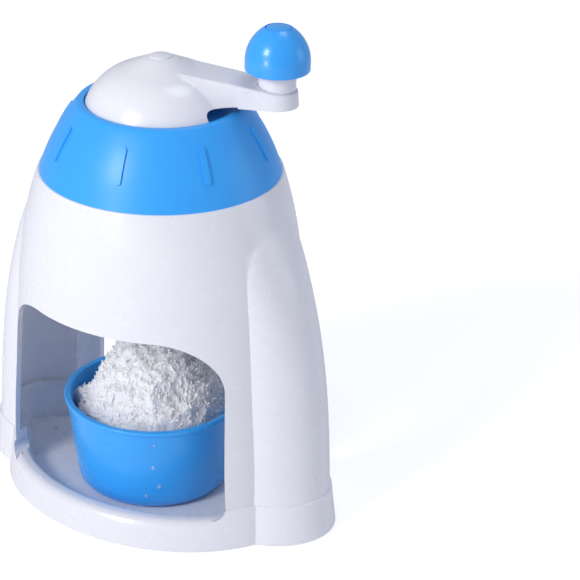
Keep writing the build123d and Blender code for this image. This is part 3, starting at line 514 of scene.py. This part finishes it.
def makeIceShards(mound):
    # thin flakes and splinters that stand out of the mound's surface in every direction
    dice = random.Random(ice["seed"])
    lowest = ice["rimHeight"] - flakeDraw["belowRim"]
    tops = [face for face in mound.data.polygons
            if face.center.z > lowest and face.normal.z > flakeDraw["leastUp"]]
    mesh = bmesh.new()
    for kind in flakeKinds:
        for _ in range(kind["count"]):
            face = tops[dice.randrange(len(tops))]
            size = dice.uniform(*flakeDraw["size"])
            flake = Matrix.Diagonal((kind["long"] * size * dice.uniform(*flakeDraw["stretch"]),
                                     kind["wide"] * size, kind["thick"], 1.0))
            spin = Euler([dice.uniform(0, math.tau) for _ in range(3)]).to_matrix().to_4x4()
            lift = face.normal * dice.uniform(*flakeDraw["lift"]) * kind["lift"]
            seat = Matrix.Translation(face.center + lift)
            made = bmesh.ops.create_cube(mesh, size=1.0, matrix=seat @ spin @ flake)
            # pinch one end, so that flakes are wedges and not bricks
            tip = made["verts"][4:]
            middle = sum((vert.co for vert in tip), Vector()) / len(tip)
            pinch = dice.uniform(*flakeDraw["pinch"])
            for vert in tip:
                vert.co = middle + (vert.co - middle) * pinch
    return mesh


makePressSpring()
print("press spring made")
iceMound = finishPiece("shavedIceMound", makeIceMound(), "ice", "bowl")
iceShards = finishPiece("shavedIceFlakes", makeIceShards(iceMound), "shards", "bowl")
print("ice made:", len(iceMound.data.polygons), "and", len(iceShards.data.polygons), "faces")


# ---- water beads

# all in millimetres: spots on the tray and its lip are x, y and radius, and spots on the bowl are
# angle in degrees, height and radius
beads = {
    "flatness": 0.55, "around": 24, "upwards": 14,
    "floorHeight": 7.0,
    "floorSpots": ((-72.7, 2.8, 1.4), (-65.7, -21.1, 1.8), (-65.5, -25.4, 1.1), (-58.0, -36.5, 0.7),
                   (-50.0, 33.0, 1.1), (34.0, 48.0, 1.2), (56.0, 30.0, 0.8)),
    "lipHeight": 16.9,
    "lipSpots": ((-38.3, -58.4, 1.4), (-61.9, -44.6, 1.3)),
    "bowlSpots": ((-56.5, 49.4, 0.8), (-57.2, 35.0, 1.1), (-52.7, 22.6, 1.2), (-62.4, 16.4, 1.0)),
}
bowlSide = {"centre": (0.0, -6.5), "lowRadius": 40.5, "lowHeight": 7.0, "highRadius": 46.9,
            "highHeight": 55.0}


def addBead(mesh, place, outward, radius):
    # a flattened drop, half of it above the surface at place
    turn = Vector(outward).to_track_quat("Z", "Y").to_matrix().to_4x4()
    size = Matrix.Diagonal((radius / 1000, radius / 1000, radius / 1000 * beads["flatness"], 1.0))
    bmesh.ops.create_uvsphere(mesh, u_segments=beads["around"], v_segments=beads["upwards"], radius=1.0,
                              matrix=Matrix.Translation(Vector(place) / 1000) @ turn @ size)


def smoothBeads(mesh):
    bmesh.ops.recalc_face_normals(mesh, faces=mesh.faces)
    for face in mesh.faces:
        face.smooth = True
    return mesh


def makeTrayBeads():
    mesh = bmesh.new()
    for level in ("floor", "lip"):
        for x, y, radius in beads[level + "Spots"]:
            addBead(mesh, (x, y, beads[level + "Height"]), (0, 0, 1), radius)
    return smoothBeads(mesh)


def makeBowlBeads():
    mesh = bmesh.new()
    rise = bowlSide["highHeight"] - bowlSide["lowHeight"]
    flare = bowlSide["highRadius"] - bowlSide["lowRadius"]
    for angle, height, radius in beads["bowlSpots"]:
        reach = bowlSide["lowRadius"] + flare * (height - bowlSide["lowHeight"]) / rise
        outX, outY = math.cos(math.radians(angle)), math.sin(math.radians(angle))
        place = (bowlSide["centre"][0] + reach * outX, bowlSide["centre"][1] + reach * outY, height)
        addBead(mesh, place, (outX, outY, -flare / rise), radius)
    return smoothBeads(mesh)


finishPiece("waterBeadsTray", makeTrayBeads(), "water", "housing")
finishPiece("waterBeadsBowl", makeBowlBeads(), "water", "bowl")
print("water beads made")


# ---- studio

studio = {
    "floorColour": (0.86, 0.87, 0.90), "floorGlow": 0.5, "floorSize": 6.0,
    "worldLight": (0.82, 0.85, 1.0), "worldStrength": 0.48,
    "lamps": {
        "key": {"at": (-0.41, -1.53, 1.11), "aim": (0.0, 0.0, 0.12), "size": 0.5, "watts": 15.0,
                "colour": (1.0, 0.985, 0.965)},
        "low": {"at": (-0.20, -1.50, 0.24), "aim": (0.0, 0.0, 0.08), "size": 0.35, "watts": 4.2,
                "colour": (0.98, 0.985, 1.0)},
        "right": {"at": (1.25, 0.75, 0.45), "aim": (0.0, 0.0, 0.15), "size": 0.7, "watts": 1.7,
                  "colour": (0.94, 0.96, 1.0)},
        "top": {"at": (0.25, 0.35, 1.5), "aim": (0.0, 0.0, 0.15), "size": 0.5, "watts": 3.0,
                "colour": (0.95, 0.97, 1.0)},
    },
}


def makeFloor():
    mesh = bmesh.new()
    bmesh.ops.create_grid(mesh, x_segments=1, y_segments=1, size=studio["floorSize"] / 2)
    data = bpy.data.meshes.new("studioFloor")
    mesh.to_mesh(data)
    mesh.free()
    floor = bpy.data.objects.new("studioFloor", data)
    scene.collection.objects.link(floor)
    material = bpy.data.materials.new("studioPaper")
    material.use_nodes = True
    tree = material.node_tree
    tree.nodes.clear()
    diffuse = addNode(tree, "ShaderNodeBsdfDiffuse")
    diffuse.inputs["Color"].default_value = (*studio["floorColour"], 1.0)
    glow = addNode(tree, "ShaderNodeEmission")
    path = addNode(tree, "ShaderNodeLightPath")
    tree.links.new(math2(tree, "MULTIPLY", path.outputs["Is Camera Ray"], studio["floorGlow"]),
                   glow.inputs["Strength"])
    both = addNode(tree, "ShaderNodeAddShader")
    end = addNode(tree, "ShaderNodeOutputMaterial")
    tree.links.new(diffuse.outputs[0], both.inputs[0])
    tree.links.new(glow.outputs[0], both.inputs[1])
    tree.links.new(both.outputs[0], end.inputs["Surface"])
    data.materials.append(material)


def makeWorld():
    world = bpy.data.worlds.new("studioWorld")
    world.use_nodes = True
    scene.world = world
    tree = world.node_tree
    tree.nodes.clear()
    light = addNode(tree, "ShaderNodeBackground")
    light.inputs["Color"].default_value = (*studio["worldLight"], 1.0)
    light.inputs["Strength"].default_value = studio["worldStrength"]
    white = addNode(tree, "ShaderNodeBackground")
    white.inputs["Color"].default_value = (1.0, 1.0, 1.0, 1.0)
    path = addNode(tree, "ShaderNodeLightPath")
    seen = math2(tree, "MAXIMUM", path.outputs["Is Camera Ray"], path.outputs["Is Transmission Ray"])
    mix = addNode(tree, "ShaderNodeMixShader")
    end = addNode(tree, "ShaderNodeOutputWorld")
    tree.links.new(seen, mix.inputs[0])
    tree.links.new(light.outputs[0], mix.inputs[1])
    tree.links.new(white.outputs[0], mix.inputs[2])
    tree.links.new(mix.outputs[0], end.inputs["Surface"])


def makeLamps():
    for name, lamp in studio["lamps"].items():
        data = bpy.data.lights.new(name, "AREA")
        data.shape = "SQUARE"
        data.size = lamp["size"]
        data.energy = lamp["watts"]
        data.color = lamp["colour"]
        place = bpy.data.objects.new(name, data)
        place.location = lamp["at"]
        aim = Vector(lamp["aim"]) - Vector(lamp["at"])
        place.rotation_euler = aim.to_track_quat("-Z", "Y").to_euler()
        scene.collection.objects.link(place)


# fitted to the photograph: place in metres, turn in degrees, lens and sensor in millimetres
camera = {"at": (0.564873, -0.853431, 0.609475), "turn": (64.2273, -1.4711, 30.4019), "lens": 133.466,
          "sensor": 36.0, "near": 0.01, "far": 50.0}


def makeCamera():
    data = bpy.data.cameras.new("photoCamera")
    data.lens = camera["lens"]
    data.sensor_width = camera["sensor"]
    data.clip_start = camera["near"]
    data.clip_end = camera["far"]
    view = bpy.data.objects.new("photoCamera", data)
    view.location = camera["at"]
    view.rotation_euler = [math.radians(angle) for angle in camera["turn"]]
    scene.collection.objects.link(view)
    scene.camera = view


makeFloor()
makeWorld()
makeLamps()
makeCamera()
scene.view_settings.view_transform = "Standard"
print("studio ready")
